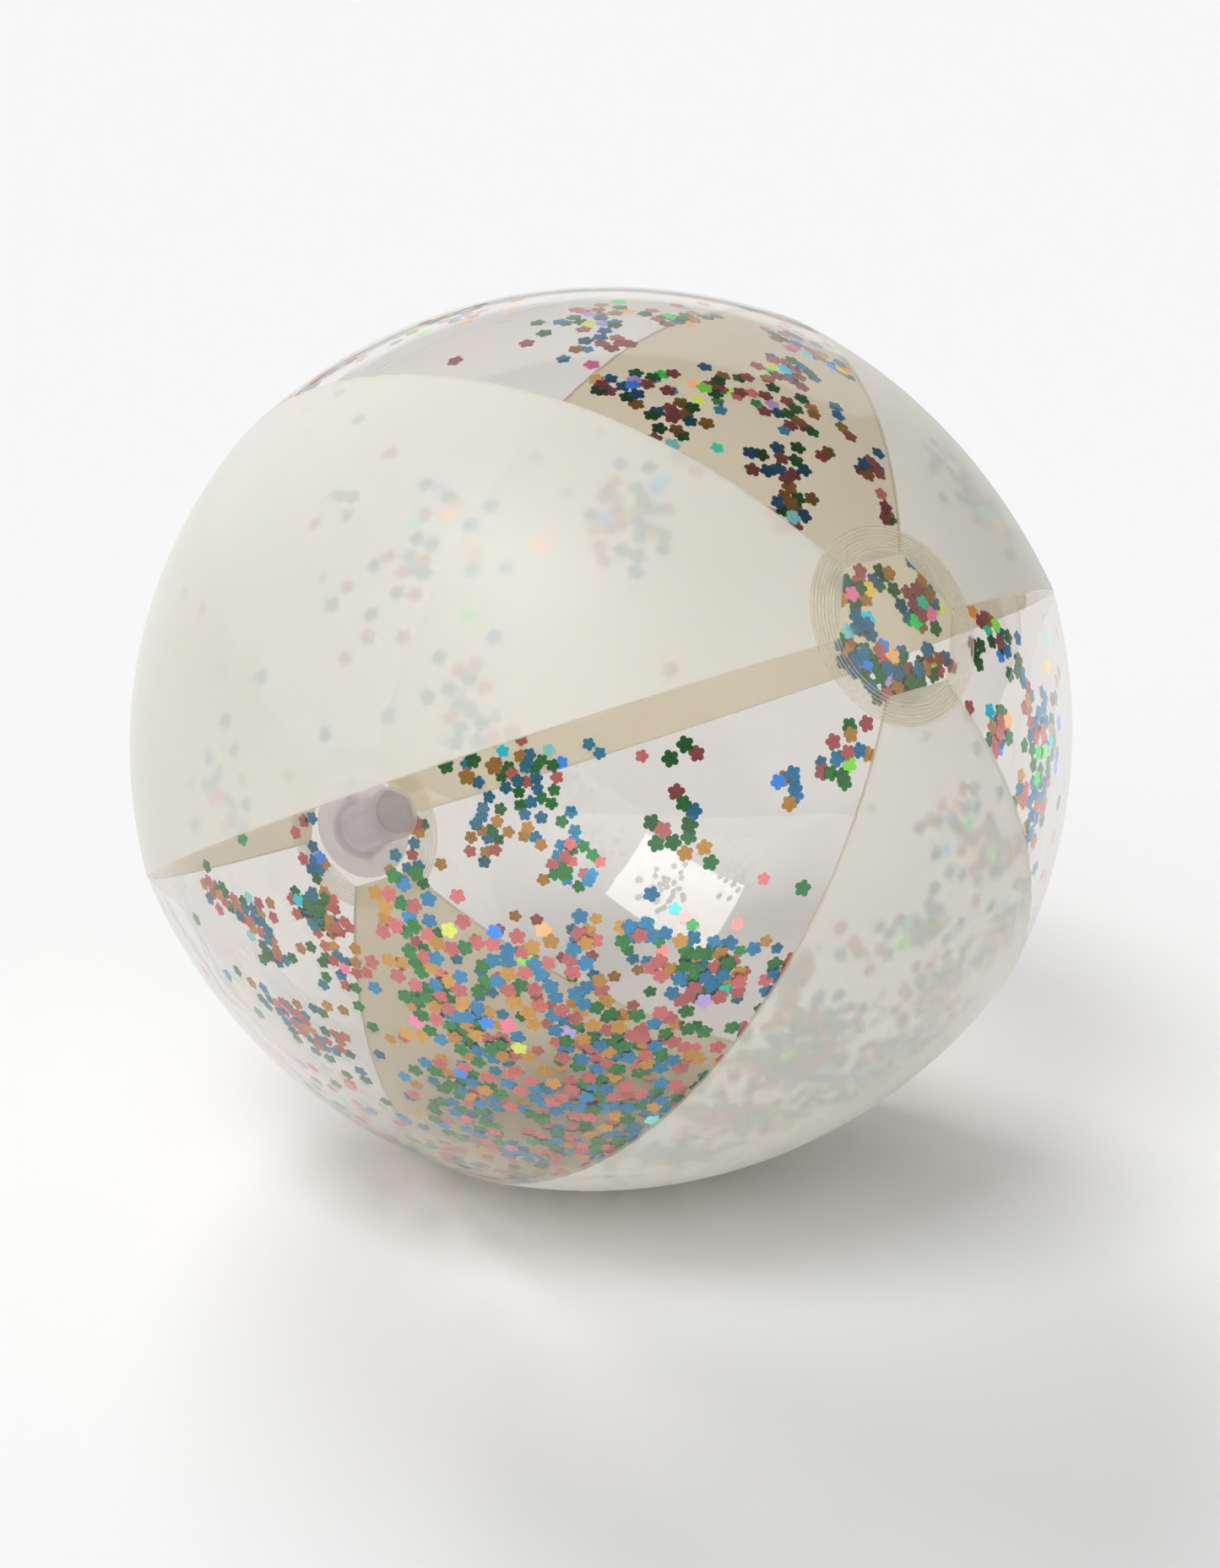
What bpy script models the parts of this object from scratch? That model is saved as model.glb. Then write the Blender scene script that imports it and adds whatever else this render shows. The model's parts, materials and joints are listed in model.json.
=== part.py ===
"""Inflatable beach ball: six welded gores, a plain and a valve pole disc, a push-in valve and loose confetti.

Metres, +Z up. The origin is on the floor under the middle of the ball. The polar axis lies in the XZ plane,
with the plain pole high on the +X side and the valve low on the -X side. Left and right in the names are
as seen from the plain pole, so right is +Y.
"""
import math
import random

import bmesh
import bpy
from mathutils import Matrix, Vector

# Ball
BALL_RADIUS = 0.200
HEIGHT_LOSS = 0.0187  # how much lower than wide the soft ball stands, before its rest patch
REST_PATCH_RADIUS = 0.040  # flat where the ball's weight presses it on the floor
POLE_TILT = math.radians(28.9)  # of the polar axis above the floor
SEAM_RISE = 0.0014  # the skin stands out this much at a seam and sinks as much in mid-gore
SKIN = 0.0003
GAP = 0.0003  # between solids that touch or are welded on the real ball

# Gores
GORES = (
    ("clear_gore_top", "clear"),
    ("cream_gore_upper_right", "cream"),
    ("clear_gore_lower_right", "clear"),
    ("cream_gore_bottom", "cream"),
    ("clear_gore_lower_left", "clear"),
    ("cream_gore_upper_left", "cream"),
)
FIN_DEPTH = 0.0013  # of the weld fin that runs along each side of a gore, inside the ball
FIN_WIDTH = 0.0008
RISE_MARGIN = 0.005  # past the pole disc, where the seams begin to stand out
RISE_LENGTH = 0.085
GORE_COLUMNS = 8
BOTTOM_COLUMNS = 10  # the gore with the rest patch is meshed more finely
GORE_STEP = math.radians(8.0)
BOTTOM_STEP = math.radians(5.4)
FACET_SAG = BALL_RADIUS * GORE_STEP**2 / 4  # the flat faces of a gore dip this far under its true curve

# Pole discs
TIP_CLEARANCE = 0.0023  # between the valve's flange and the gores' straight-cut tips
DISC_WELD = 0.0132  # the disc reaches this far past the middle of a gore's tip
DISC_SIDES = 40

# Valve, along its axis: u is 0 on the skin and grows outwards
STEM_RADIUS = 0.01175
STEM_WALL = 0.00135
STEM_DEPTH = 0.030  # how far the pushed-in stem reaches into the ball
STEM_SLIDE_GAP = 0.0003
LIP_REACH = 0.00275  # of the lip past the stem
LIP_THICKNESS = 0.0012
BEAD_WIDTH = 0.0009  # the stop bead at the stem's inner end stands out this much
BEAD_LENGTH = 0.0016
END_WALL = 0.0012
FLAP_SEAT = 0.0024  # width of the stem's inner end round the hole that the check flap covers
FLANGE_WIDTH = 0.01245
FLANGE_THICKNESS = 0.0012
PLUG_DEPTH = 0.0072  # of the tapered plug below the stem's lip
PLUG_CLEARANCE = 0.0006
PLUG_TAPER = 0.0011
PLUG_WALL = 0.0014
PLUG_HEAD_REACH = 0.0021  # of the plug's head past the stem's bore
PLUG_HEAD_THICKNESS = 0.0014
TAB_REACH = 0.0035  # the finger tab stands out from the plug's head
TAB_WIDTH = 0.0080
STRAP_LENGTH = 0.0045
STRAP_WIDTH = 0.0050
STRAP_THICKNESS = 0.0010
EAR_MARGIN = 0.0010  # the stem's ear reaches past the strap's end
FLAP_OVERLAP = 0.0022  # of the check flap over the air hole's edge
FLAP_THICKNESS = 0.0005
FLAP_TAB_WIDTH = 0.0060
FLAP_TAB_REACH = 0.0006
VALVE_SIDES = 40
STEM_BORE = STEM_RADIUS - STEM_WALL
STEM_HOLE = STEM_RADIUS + STEM_SLIDE_GAP
LIP_RADIUS = STEM_RADIUS + LIP_REACH
AIR_HOLE = STEM_BORE - FLAP_SEAT
FLANGE_RADIUS = STEM_HOLE + FLANGE_WIDTH
PLUG_HEAD_RADIUS = STEM_BORE + PLUG_HEAD_REACH
TIP_RADIUS = FLANGE_RADIUS + TIP_CLEARANCE  # from the pole to the middle of a gore's straight-cut tip
DISC_RADIUS = TIP_RADIUS + DISC_WELD
RISE_START = DISC_RADIUS + RISE_MARGIN
RISE_FULL = RISE_START + RISE_LENGTH

# Confetti
FLOWERS = 42
FLOWER_RADIUS = 0.0034
FLOWER_WAIST = 0.0022  # from the middle to the notch between two petals
FLOWER_THICKNESS = 0.0003
FLOWER_SPACING = 0.0095
PETALS = 5
FLOWER_COLOURS = ("pink", "blue", "green", "amber")

COLOURS = {
    "clear": ((0.90, 0.88, 0.85), 0.10, 0.0, 0.25),
    "cream": ((0.86, 0.85, 0.78), 0.25, 0.0, 0.85),
    "disc": ((0.88, 0.86, 0.76), 0.15, 0.0, 0.45),
    "valve": ((0.60, 0.55, 0.58), 0.30, 0.0, 0.70),
    "flap": ((0.66, 0.63, 0.62), 0.60, 0.0, 0.70),
    "pink": ((0.80, 0.20, 0.22), 0.30, 0.6, 1.0),
    "blue": ((0.05, 0.28, 0.55), 0.30, 0.6, 1.0),
    "green": ((0.05, 0.28, 0.08), 0.30, 0.6, 1.0),
    "amber": ((0.75, 0.36, 0.08), 0.30, 0.6, 1.0),
}

# The ball's own directions
AXIS = Vector((math.cos(POLE_TILT), 0.0, math.sin(POLE_TILT)))
TOP = Vector((-math.sin(POLE_TILT), 0.0, math.cos(POLE_TILT)))
SIDE = Vector((0.0, 1.0, 0.0))
GORE_ANGLE = 2 * math.pi / len(GORES)
HALF_HEIGHT = BALL_RADIUS - HEIGHT_LOSS / 2
SQUASH = HALF_HEIGHT / BALL_RADIUS
# The floor touches the middle of the bottom gore, where the skin has sunk by the seam rise.
SKIN_BOTTOM = (BALL_RADIUS - SEAM_RISE) * SQUASH
PATCH_DEPTH = SKIN_BOTTOM * (1 - math.sqrt(1 - (REST_PATCH_RADIUS / BALL_RADIUS) ** 2))
CENTRE_HEIGHT = SKIN_BOTTOM - PATCH_DEPTH


def clear_scene():
    for old in list(bpy.data.objects):
        bpy.data.objects.remove(old)


def material(name):
    made = bpy.data.materials.get(name)
    if made:
        return made
    colour, roughness, metallic, alpha = COLOURS[name]
    made = bpy.data.materials.new(name)
    made.use_nodes = True
    shader = made.node_tree.nodes["Principled BSDF"]
    shader.inputs["Base Color"].default_value = (*colour, 1.0)
    shader.inputs["Roughness"].default_value = roughness
    shader.inputs["Metallic"].default_value = metallic
    shader.inputs["Alpha"].default_value = alpha
    return made


def add_object(name, points, faces, finish, parent):
    mesh = bpy.data.meshes.new(name)
    mesh.from_pydata(points, [], faces)
    shape = bmesh.new()
    shape.from_mesh(mesh)
    bmesh.ops.recalc_face_normals(shape, faces=shape.faces)
    shape.to_mesh(mesh)
    shape.free()
    mesh.materials.append(material(finish))
    mesh.shade_smooth()
    mesh.set_sharp_from_angle(angle=math.radians(35))
    made = bpy.data.objects.new(name, mesh)
    bpy.context.collection.objects.link(made)
    made.parent = parent
    return made


def add_empty(name, place, parent):
    made = bpy.data.objects.new(name, None)
    made.empty_display_size = 0.02
    bpy.context.collection.objects.link(made)
    made.parent = parent
    made.matrix_local = place
    return made


def smooth_step(value):
    value = min(max(value, 0.0), 1.0)
    return value * value * (3 - 2 * value)


def seam_rise(polar, off_middle):
    """Height of the skin over the plain ball: up at the seams, down in mid-gore, and none near the poles."""
    across = off_middle / (GORE_ANGLE / 2)
    from_pole = BALL_RADIUS * math.sin(polar)
    fade = smooth_step((from_pole - RISE_START) / (RISE_FULL - RISE_START))
    return SEAM_RISE * fade * (2 * across * across - 1)


def skin_point(polar, middle, off_middle, inset):
    """A point of the skin, from the ball's centre. The floor flattens it, and the skin keeps its thickness there."""
    azimuth = middle + off_middle
    around = TOP * math.cos(azimuth) + SIDE * math.sin(azimuth)
    direction = AXIS * math.cos(polar) + around * math.sin(polar)
    point = direction * (BALL_RADIUS + seam_rise(polar, off_middle))
    point.z *= SQUASH
    normal = Vector((direction.x, direction.y, direction.z / SQUASH)).normalized()
    point -= normal * inset
    point.z = max(point.z, inset - CENTRE_HEIGHT)
    return point


def gore_rows(step):
    """Polar angles of the rows between the two tips: close together under the pole discs, then every step."""
    first = math.asin((DISC_RADIUS + 2 * GAP) / BALL_RADIUS)
    under_disc = 0.5 * (first + math.asin(TIP_RADIUS / BALL_RADIUS))
    count = math.ceil((math.pi - 2 * first) / step)
    between = [first + (math.pi - 2 * first) * i / count for i in range(count + 1)]
    return [under_disc, *between, math.pi - under_disc]


def gore_section(polar_of, middle, columns):
    """The closed outline of a gore across one row, outer points first, with a weld fin on both inner sides."""
    half = GORE_ANGLE / 2
    girth = BALL_RADIUS * math.sin(polar_of(half))
    edge = half - GAP / 2 / girth
    inner_edge = edge - FIN_WIDTH / girth
    between = [inner_edge * (2 * i / columns - 1) for i in range(columns + 1)]
    outer = [skin_point(polar_of(a), middle, a, 0.0) for a in (-edge, *between, edge)]
    inner = [skin_point(polar_of(a), middle, a, SKIN) for a in between]
    fins = [
        skin_point(polar_of(a), middle, a, FIN_DEPTH)
        for a in (-edge, -inner_edge, inner_edge, edge)
    ]
    return outer + fins[3:1:-1] + inner[::-1] + fins[1::-1]


def gore_cap(columns, first):
    """Faces that close a gore's tip. The section's points are the outer row, a fin, the inner row and a fin."""
    across = columns + 3
    inner = [first + across + 2 + i for i in range(columns + 1)][::-1]
    last_fin = first + across + 2 + columns + 1
    faces = [
        (first, first + 1, inner[0], last_fin, last_fin + 1),
        (first + across - 2, first + across - 1, first + across, first + across + 1, inner[-1]),
    ]
    for i in range(columns):
        faces.append((first + 1 + i, first + 2 + i, inner[i + 1], inner[i]))
    return faces


def make_gore(name, finish, index, parent):
    bottom = index == len(GORES) // 2
    columns = BOTTOM_COLUMNS if bottom else GORE_COLUMNS
    rows = gore_rows(BOTTOM_STEP if bottom else GORE_STEP)
    middle = index * GORE_ANGLE

    def front_tip(off_middle):
        return math.asin(TIP_RADIUS / BALL_RADIUS / math.cos(off_middle))

    def back_tip(off_middle):
        return math.pi - front_tip(off_middle)

    sections = [front_tip, *[lambda _, polar=row: polar for row in rows], back_tip]
    points = []
    for polar_of in sections:
        points += gore_section(polar_of, middle, columns)
    around = len(points) // len(sections)
    faces = gore_cap(columns, 0)
    faces += [face[::-1] for face in gore_cap(columns, around * (len(sections) - 1))]
    for row in range(len(sections) - 1):
        for i in range(around):
            here, there = row * around + i, row * around + (i + 1) % around
            faces.append((here, here + around, there + around, there))
    return add_object(name, points, faces, finish, parent)


def pole_frame(side):
    """The frame of a pole, from the ball's centre: Z out of the skin, X up it. side is 1 or -1 along AXIS."""
    origin = AXIS * side * BALL_RADIUS
    origin.z *= SQUASH
    out = Vector((origin.x, 0.0, origin.z / SQUASH**2)).normalized()
    up = Vector((0.0, 0.0, 1.0))
    up = (up - out * up.dot(out)).normalized()
    frame = Matrix((up, out.cross(up), out)).transposed().to_4x4()
    return Matrix.Translation(origin) @ frame


def skin_height(frame, x, y):
    """Height of the plain squashed ball over a pole's tangent plane, at x and y in that plane."""
    scale = Vector((1 / BALL_RADIUS, 1 / BALL_RADIUS, 1 / HALF_HEIGHT))
    start = (frame @ Vector((x, y, 0.0))) * scale
    out = frame.to_3x3().col[2] * scale
    a, b, c = out.dot(out), start.dot(out), start.dot(start) - 1
    return (math.sqrt(b * b - a * c) - b) / a


def pole_sheet(name, frame, radii, low, high, finish, parent):
    """A round sheet that follows the skin at a pole. A first radius of 0 closes it; otherwise it has a hole."""
    closed = radii[0] == 0
    rings = radii[1:] if closed else radii
    points, faces = [], []
    for height in (high, low):
        for radius in rings:
            for i in range(DISC_SIDES):
                angle = 2 * math.pi * i / DISC_SIDES
                x, y = radius * math.cos(angle), radius * math.sin(angle)
                points.append((x, y, skin_height(frame, x, y) + height))
    layer = len(rings) * DISC_SIDES
    loops = [[r * DISC_SIDES + i for i in range(DISC_SIDES)] for r in range(len(rings))]
    outside = loops + [[i + layer for i in loop] for loop in loops[::-1]]
    if not closed:
        outside.append(outside[0])
    for inner, outer in zip(outside, outside[1:]):
        for i in range(DISC_SIDES):
            after = (i + 1) % DISC_SIDES
            faces.append((inner[i], outer[i], outer[after], inner[after]))
    if closed:
        points += [(0.0, 0.0, high), (0.0, 0.0, low)]
        for i in range(DISC_SIDES):
            after = (i + 1) % DISC_SIDES
            faces.append((len(points) - 2, i, after))
            faces.append((len(points) - 1, layer + after, layer + i))
    return add_object(name, points, faces, finish, parent)


def turned(name, profile, finish, parent):
    """A round piece about Z. The profile is a list of (radius, height), with its body on the left of each step."""
    points, faces, loops = [], [], []
    for radius, height in profile:
        sides = VALVE_SIDES if radius > 0 else 1
        loops.append([len(points) + i for i in range(sides)])
        for i in range(sides):
            angle = 2 * math.pi * i / VALVE_SIDES
            points.append((radius * math.cos(angle), radius * math.sin(angle), height))
    hollow = profile[0][0] > 0 and profile[-1][0] > 0
    for low, high in zip(loops, loops[1:] + ([loops[0]] if hollow else [])):
        for i in range(VALVE_SIDES):
            after = (i + 1) % VALVE_SIDES
            ring = [low[i % len(low)], low[after % len(low)], high[after % len(high)], high[i % len(high)]]
            faces.append(tuple(dict.fromkeys(ring)))
    return add_object(name, points, faces, finish, parent)


def block(name, low, high, finish, parent):
    """A box with rounded upright edges, between two corners."""
    mesh = bpy.data.meshes.new(name)
    shape = bmesh.new()
    bmesh.ops.create_cube(shape, size=1.0)
    size = Vector(high) - Vector(low)
    for vertex in shape.verts:
        vertex.co = Vector(low) + Vector(c * (v + 0.5) for c, v in zip(size, vertex.co))
    upright = [e for e in shape.edges if abs(e.verts[0].co.z - e.verts[1].co.z) > size.z / 2]
    radius = 0.3 * min(size.x, size.y)
    bmesh.ops.bevel(shape, geom=upright, offset=radius, segments=3, affect="EDGES")
    shape.to_mesh(mesh)
    shape.free()
    mesh.materials.append(material(finish))
    mesh.shade_smooth()
    mesh.set_sharp_from_angle(angle=math.radians(35))
    made = bpy.data.objects.new(name, mesh)
    bpy.context.collection.objects.link(made)
    made.parent = parent
    return made


def join_to(piece, helper):
    """Joins a helper block to a piece with a union, and leaves the helper out."""
    helper.hide_render = True
    helper.display_type = "WIRE"
    join = piece.modifiers.new("Join", "BOOLEAN")
    join.operation = "UNION"
    join.solver = "EXACT"
    join.object = helper


def make_valve(frame, parent):
    """The valve's pieces. Heights are along the valve's axis, from the skin, and the stem is pushed in."""
    valve = add_empty("valve_axis", frame, parent)
    hole = STEM_HOLE
    disc_top = skin_height(frame, hole, 0.0) + GAP + SKIN
    lip_low = disc_top + GAP
    lip_high = lip_low + LIP_THICKNESS
    seat_high = lip_high + GAP
    stem_low = -STEM_DEPTH
    bead_high = stem_low + BEAD_LENGTH
    bead_radius = STEM_RADIUS + BEAD_WIDTH

    radii = [hole, 0.5 * (hole + FLANGE_RADIUS), FLANGE_RADIUS]
    pole_sheet("valve_flange", frame, radii, -FLANGE_THICKNESS, 0.0, "valve", valve)

    stem = turned(
        "valve_stem",
        [
            (AIR_HOLE, stem_low), (bead_radius, stem_low), (bead_radius, bead_high),
            (STEM_RADIUS, bead_high), (STEM_RADIUS, lip_low), (LIP_RADIUS, lip_low),
            (LIP_RADIUS, lip_high), (STEM_BORE, lip_high), (STEM_BORE, stem_low + END_WALL),
            (AIR_HOLE, stem_low + END_WALL),
        ],
        "valve",
        valve,
    )
    strap_end = PLUG_HEAD_RADIUS + GAP + STRAP_LENGTH
    ear = block(
        "ear_helper",
        (STEM_BORE + GAP, -STRAP_WIDTH / 2, lip_low + GAP / 2),
        (strap_end + EAR_MARGIN, STRAP_WIDTH / 2, lip_high - GAP / 2),
        "valve",
        stem,
    )
    join_to(stem, ear)

    # The strap bends over the stem's ear, and the plug flips about that bend.
    bend = Vector((strap_end - STRAP_THICKNESS / 2, 0.0, seat_high + STRAP_THICKNESS / 2))
    hinge = add_empty("plug_hinge", Matrix.Translation(bend), stem)
    back = Matrix.Translation(-bend)
    plug_top = STEM_BORE - PLUG_CLEARANCE
    plug_low = lip_high - PLUG_DEPTH
    head_high = seat_high + PLUG_HEAD_THICKNESS
    plug_inside = plug_top - PLUG_TAPER - PLUG_WALL
    plug = turned(
        "valve_plug",
        [
            (0.0, plug_low), (plug_top - PLUG_TAPER, plug_low), (plug_top, seat_high),
            (PLUG_HEAD_RADIUS, seat_high), (PLUG_HEAD_RADIUS, head_high),
            (plug_inside, head_high), (plug_inside, plug_low + PLUG_WALL), (0.0, plug_low + PLUG_WALL),
        ],
        "valve",
        hinge,
    )
    plug.data.transform(back)
    tab = block(
        "tab_helper",
        (-PLUG_HEAD_RADIUS - TAB_REACH, -TAB_WIDTH / 2, seat_high + GAP / 2),
        (GAP - plug_top, TAB_WIDTH / 2, head_high - GAP / 2),
        "valve",
        hinge,
    )
    tab.data.transform(back)
    join_to(plug, tab)
    strap = block(
        "plug_strap",
        (PLUG_HEAD_RADIUS + GAP, -STRAP_WIDTH / 2, seat_high),
        (strap_end, STRAP_WIDTH / 2, seat_high + STRAP_THICKNESS),
        "valve",
        hinge,
    )
    strap.data.transform(back)

    # The check flap hangs from its upper edge and opens into the ball.
    flap_radius = AIR_HOLE + FLAP_OVERLAP
    flap_high = stem_low - GAP
    flap_low = flap_high - FLAP_THICKNESS
    flap_bend = Vector((flap_radius + FLAP_TAB_REACH - FLAP_THICKNESS / 2, 0.0, flap_high - FLAP_THICKNESS / 2))
    flap_hinge = add_empty("flap_hinge", Matrix.Translation(flap_bend), stem)
    flap = turned(
        "check_flap",
        [(0.0, flap_low), (flap_radius, flap_low), (flap_radius, flap_high), (0.0, flap_high)],
        "flap",
        flap_hinge,
    )
    flap.data.transform(Matrix.Translation(-flap_bend))
    flap_tab = block(
        "flap_tab_helper",
        (flap_radius - FLAP_TAB_WIDTH / 2, -FLAP_TAB_WIDTH / 2, flap_low + FLAP_THICKNESS / 10),
        (flap_radius + FLAP_TAB_REACH, FLAP_TAB_WIDTH / 2, flap_high - FLAP_THICKNESS / 10),
        "flap",
        flap_hinge,
    )
    flap_tab.data.transform(Matrix.Translation(-flap_bend))
    join_to(flap, flap_tab)
    return valve


def flower_outline(turn):
    """Petals with round ends, from arcs about a circle of centres."""
    petal = (FLOWER_RADIUS - FLOWER_WAIST) * 1.15
    centre = FLOWER_RADIUS - petal
    outline = []
    for i in range(PETALS):
        angle = turn + 2 * math.pi * i / PETALS
        for bend in (-1.25, -0.45, 0.45, 1.25):
            outline.append((
                centre * math.cos(angle) + petal * math.cos(angle + bend),
                centre * math.sin(angle) + petal * math.sin(angle + bend),
            ))
    return outline


def flower_places():
    """Where flowers cling to the inside of the skin: mostly low down, clear of seams, discs and each other."""
    draw = random.Random(11)
    places = []
    while len(places) < FLOWERS:
        polar = math.acos(draw.uniform(-1, 1))
        gore = draw.randrange(len(GORES))
        off_middle = draw.uniform(-0.5, 0.5) * GORE_ANGLE
        turn = draw.uniform(0, 2 * math.pi)
        girth = BALL_RADIUS * math.sin(polar)
        to_seam = (GORE_ANGLE / 2 - abs(off_middle)) * girth
        if girth < DISC_RADIUS + 2 * FLOWER_RADIUS or to_seam < 2 * FLOWER_RADIUS:
            continue
        place = skin_point(polar, gore * GORE_ANGLE, off_middle, SKIN + GAP + FACET_SAG)
        height = 0.5 + 0.5 * place.z / HALF_HEIGHT
        if draw.random() < height**0.7:
            continue
        if place.z < 2 * PATCH_DEPTH - CENTRE_HEIGHT:
            continue
        if all((place - other[0]).length > FLOWER_SPACING for other in places):
            places.append((place, turn))
    return places


def make_flower(number, place, turn, parent):
    outline = flower_outline(turn)
    sides = len(outline)
    # The rim bears on the curved skin, so the flat flower stands off by its sag.
    sag = FLOWER_RADIUS**2 / BALL_RADIUS
    points = [(x, y, -sag) for x, y in outline]
    points += [(x, y, -sag - FLOWER_THICKNESS) for x, y in outline]
    faces = [tuple(range(sides)), tuple(range(2 * sides - 1, sides - 1, -1))]
    for i in range(sides):
        after = (i + 1) % sides
        faces.append((i, i + sides, after + sides, after))
    colour = FLOWER_COLOURS[number % len(FLOWER_COLOURS)]
    made = add_object(f"confetti_{colour}_{number + 1:02d}", points, faces, colour, parent)
    out = Vector((place.x, place.y, place.z / SQUASH**2)).normalized()
    made.matrix_local = Matrix.Translation(place) @ out.to_track_quat("Z", "Y").to_matrix().to_4x4()
    return made


def main():
    clear_scene()
    ball = add_empty("ball_centre", Matrix.Translation((0.0, 0.0, CENTRE_HEIGHT)), None)
    for index, (name, finish) in enumerate(GORES):
        make_gore(name, finish, index, ball)
    ring_radii = [0.5 * (TIP_RADIUS + DISC_RADIUS), DISC_RADIUS]
    plain = pole_frame(1)
    plain_axis = add_empty("plain_pole", plain, ball)
    radii = [0.0, TIP_RADIUS / 2, TIP_RADIUS, *ring_radii]
    pole_sheet("plain_pole_disc", plain, radii, GAP, GAP + SKIN, "disc", plain_axis)
    valve_pole = pole_frame(-1)
    valve = make_valve(valve_pole, ball)
    hole = STEM_HOLE
    radii = [hole, 0.5 * (hole + TIP_RADIUS), TIP_RADIUS, *ring_radii]
    pole_sheet("valve_pole_disc", valve_pole, radii, GAP, GAP + SKIN, "disc", valve)
    for number, (place, turn) in enumerate(flower_places()):
        make_flower(number, place, turn, ball)


main()
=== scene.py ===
"""Looks of the inflatable beach ball: film gores, embossed pole discs, a push-in valve and foil confetti.

The shape follows the CAD frame: the ball's size, its centre and its polar axis are read from it. Lengths are
in metres. Polar angles run from the plain pole, and azimuths run round the polar axis from the top gore's
middle towards +Y.
"""
import json
import math

import bpy
import numpy as np
from mathutils import Matrix, Vector


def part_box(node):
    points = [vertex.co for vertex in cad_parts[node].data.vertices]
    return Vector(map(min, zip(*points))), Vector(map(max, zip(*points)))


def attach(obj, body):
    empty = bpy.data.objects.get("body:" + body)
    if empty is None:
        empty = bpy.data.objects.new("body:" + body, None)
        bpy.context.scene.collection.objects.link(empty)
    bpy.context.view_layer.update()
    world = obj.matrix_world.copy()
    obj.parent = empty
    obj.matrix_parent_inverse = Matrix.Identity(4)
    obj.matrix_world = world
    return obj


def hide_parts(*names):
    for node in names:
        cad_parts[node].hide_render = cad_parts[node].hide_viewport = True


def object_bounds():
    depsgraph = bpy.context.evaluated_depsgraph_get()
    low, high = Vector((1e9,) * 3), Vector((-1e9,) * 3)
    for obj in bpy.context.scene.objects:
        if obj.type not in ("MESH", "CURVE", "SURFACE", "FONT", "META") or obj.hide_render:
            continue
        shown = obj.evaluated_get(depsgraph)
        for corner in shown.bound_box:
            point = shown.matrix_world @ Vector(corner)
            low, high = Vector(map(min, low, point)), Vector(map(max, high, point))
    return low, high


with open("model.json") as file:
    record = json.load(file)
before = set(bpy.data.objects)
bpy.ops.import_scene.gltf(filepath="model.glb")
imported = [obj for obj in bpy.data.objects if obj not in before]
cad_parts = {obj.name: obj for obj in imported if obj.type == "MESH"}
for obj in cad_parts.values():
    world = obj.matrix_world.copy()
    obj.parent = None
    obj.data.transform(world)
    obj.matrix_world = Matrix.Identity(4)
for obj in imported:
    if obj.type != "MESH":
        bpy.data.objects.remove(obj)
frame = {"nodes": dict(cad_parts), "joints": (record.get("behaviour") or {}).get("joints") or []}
CAD_LOW, CAD_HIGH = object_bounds()

# The CAD's own proportions
SEAM_RISE = 0.0014
SQUASH = 0.95325
SKIN = 0.0003
GAP = 0.0003
TIP_RADIUS = 0.0268
DISC_RADIUS = 0.040
FIN_DEPTH = 0.0013
FIN_WIDTH = 0.0004
RISE_START = 0.045
RISE_FULL = 0.130
STEM_HOLE = 0.01205
SEAMS = 6
GORE_ANGLE = 2 * math.pi / SEAMS

# Small waves of the soft film
PUCKER_LENGTH = 0.0130
PUCKER_HEIGHT = 0.00022
PUCKER_REACH = 0.009
SWELL_HEIGHT = 0.00030
WAVE_FADE = 0.03


def box_middle(node):
    low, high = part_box(node)
    return 0.5 * (low + high)


RADIUS = 0.5 * (CAD_HIGH.y - CAD_LOW.y) - SEAM_RISE
CENTRE = 0.5 * (box_middle("plain_pole_disc") + box_middle("valve_pole_disc"))
JOINTS = {joint["name"]: joint for joint in frame["joints"]}
VALVE_OUT = Vector(JOINTS["stem_slide"]["axis"]).normalized()
POLE_TILT = math.atan2(-VALVE_OUT.z * SQUASH, -VALVE_OUT.x)
AXIS = np.array((math.cos(POLE_TILT), 0.0, math.sin(POLE_TILT)))
TOP = np.array((-math.sin(POLE_TILT), 0.0, math.cos(POLE_TILT)))
SIDE = np.array((0.0, 1.0, 0.0))

random = np.random.default_rng(5)


# ---------------------------------------------------------------- skin shape


def smooth_step(value):
    value = np.clip(value, 0.0, 1.0)
    return value * value * (3 - 2 * value)


def off_middle_of(azimuth):
    return (azimuth + GORE_ANGLE / 2) % GORE_ANGLE - GORE_ANGLE / 2


def ripple(polar, azimuth, off_middle):
    """Small waves of the soft film: puckers along the seams and long shallow swells."""
    girth = RADIUS * np.sin(polar)
    to_seam = (GORE_ANGLE / 2 - np.abs(off_middle)) * girth
    along = RADIUS * polar
    uneven = 0.6 + 0.4 * np.sin(along * 37 + 3 * azimuth)
    pucker = np.sin(along * 2 * math.pi / PUCKER_LENGTH + 1.7 * np.sin(along * 61 + azimuth * 2))
    pucker *= PUCKER_HEIGHT * np.exp(-to_seam / PUCKER_REACH) * uneven
    swell = SWELL_HEIGHT * np.sin(5 * polar + 2 * azimuth) * np.sin(3 * azimuth + 2.1 * polar + 0.6)
    fade = smooth_step((girth - RISE_START) / WAVE_FADE)
    return (pucker + swell) * fade


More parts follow.
